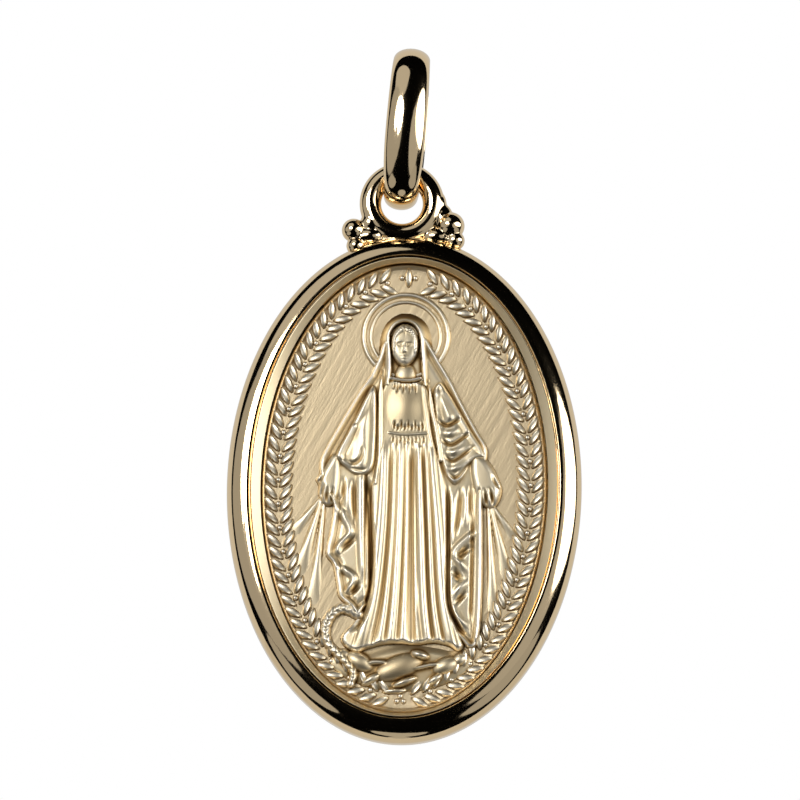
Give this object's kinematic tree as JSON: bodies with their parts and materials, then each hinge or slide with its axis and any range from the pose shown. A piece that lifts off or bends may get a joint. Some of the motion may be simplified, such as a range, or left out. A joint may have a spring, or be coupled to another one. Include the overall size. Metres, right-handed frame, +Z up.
{
  "type": "religious medal pendant",
  "caption": "Oval gold medal with a robed figure in relief, set in a domed polished frame and hung from an eye ring on a half-round bail.",
  "frame": {"origin": "where the chain bears, at the top of the bail's inside", "axes": "+Z up, the way it hangs; the front with the figure faces -Y; +X to the viewer's right"},
  "size_m": [0.017, 0.0046, 0.0341],
  "materials": {
    "polished_gold": "mirror polished pale yellow gold",
    "satin_gold": "struck relief in pale yellow gold, satin with fine brushed streaks"
  },
  "bodies": {
    "bail": {"bail": "polished_gold"},
    "medal": {"frame": "polished_gold", "plaque": "satin_gold"}
  },
  "joints": [
    {"name": "medal_swing", "type": "hinge", "parent": "bail", "child": "medal", "pos_m": [-0.00033, 0, -0.00545], "axis": [1, 0, 0], "range_deg": [-85, 85]}
  ]
}
